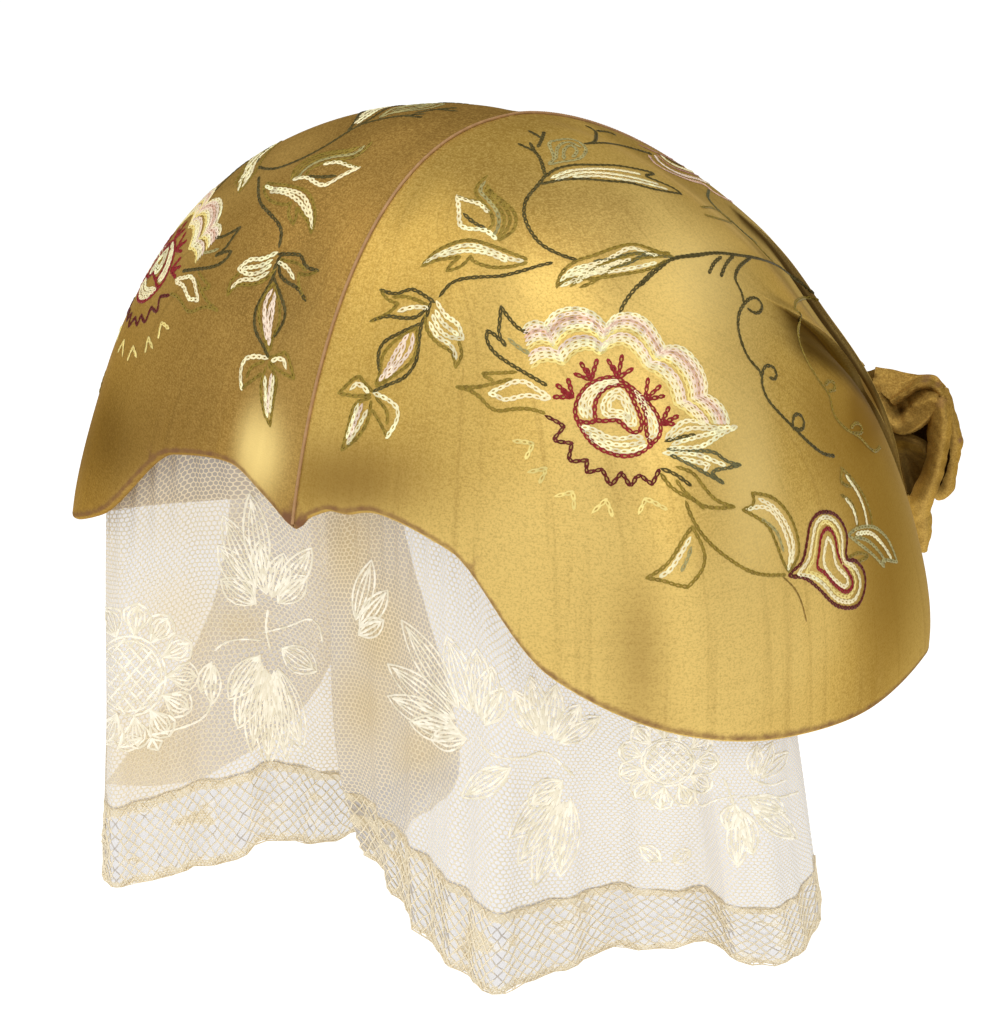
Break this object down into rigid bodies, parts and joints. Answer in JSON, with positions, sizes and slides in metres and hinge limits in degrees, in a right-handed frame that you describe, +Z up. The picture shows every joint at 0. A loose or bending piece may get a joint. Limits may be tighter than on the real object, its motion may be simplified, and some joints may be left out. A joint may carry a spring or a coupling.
{
  "type": "bonnet",
  "caption": "Stiff festive bonnet of embroidered gold satin with a corded centre seam, a pleated nape under a small bow, and a gathered net frill that hangs inside the front edge.",
  "frame": {"origin": "middle of the head hollow at the cap's widest level, where a head carries it", "axes": "+Z up, +X to the wearer's left, the front peak towards -Y and the bow towards +Y"},
  "size_m": [0.1613, 0.1707, 0.1498],
  "materials": {
    "gold_satin": "silk satin with a soft sheen, worn brown at the turned edge",
    "seam_cord": "matt silk cord",
    "ivory_net": "matt cotton net"
  },
  "bodies": {
    "root": {"crown_left": "gold_satin", "crown_right": "gold_satin", "seam_piping": "seam_cord", "bow_loop_left": "gold_satin", "bow_loop_right": "gold_satin", "bow_roll_left": "gold_satin", "bow_roll_right": "gold_satin", "bow_tail_left": "gold_satin", "bow_tail_right": "gold_satin", "bow_knot": "gold_satin", "lace_net": "ivory_net", "lace_border": "ivory_net"}
  },
  "joints": []
}
